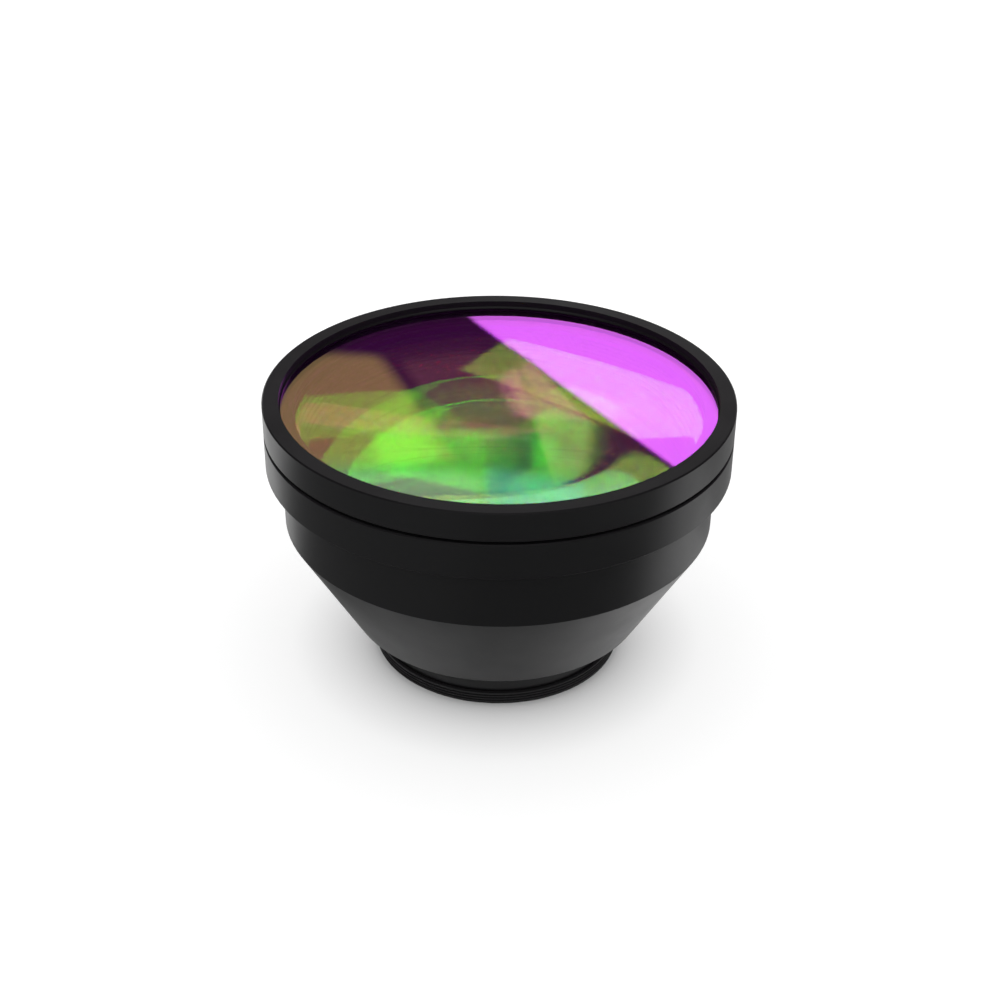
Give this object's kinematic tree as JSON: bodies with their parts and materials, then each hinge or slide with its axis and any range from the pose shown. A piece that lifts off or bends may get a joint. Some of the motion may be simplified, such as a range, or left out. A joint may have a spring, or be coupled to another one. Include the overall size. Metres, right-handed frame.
{
  "type": "f theta scan lens",
  "caption": "Black turned lens cell with a threaded neck, a cone, a flange and a front ring over a tinted coated window, for focusing a scanned laser beam onto a flat field.",
  "frame": {"origin": "centre of the thread's end face, which the lens stands on", "axes": "+Z along the optical axis, from the scan-head thread up to the protective window"},
  "size_m": [0.154, 0.154, 0.0953],
  "materials": {
    "black_anodised": "black anodised over fine turning, satin",
    "blackened_inner": "matt black anodised",
    "coated_window": "polished, coated, magenta in reflection",
    "coated_lens": "polished, coated, green in reflection",
    "seal_rubber": "matt black",
    "cushion_plastic": "matt black"
  },
  "bodies": {
    "root": {"housing": "black_anodised", "front_ring": "black_anodised", "protective_window": "coated_window", "window_seal": "seal_rubber", "output_retainer": "blackened_inner", "output_cushion": "cushion_plastic", "output_lens": "coated_lens", "upper_spacer": "blackened_inner", "upper_meniscus": "coated_lens", "lower_spacer": "blackened_inner", "lower_meniscus": "coated_lens", "entrance_lens": "coated_lens", "entrance_cushion": "cushion_plastic", "entrance_retainer": "blackened_inner"}
  },
  "joints": []
}
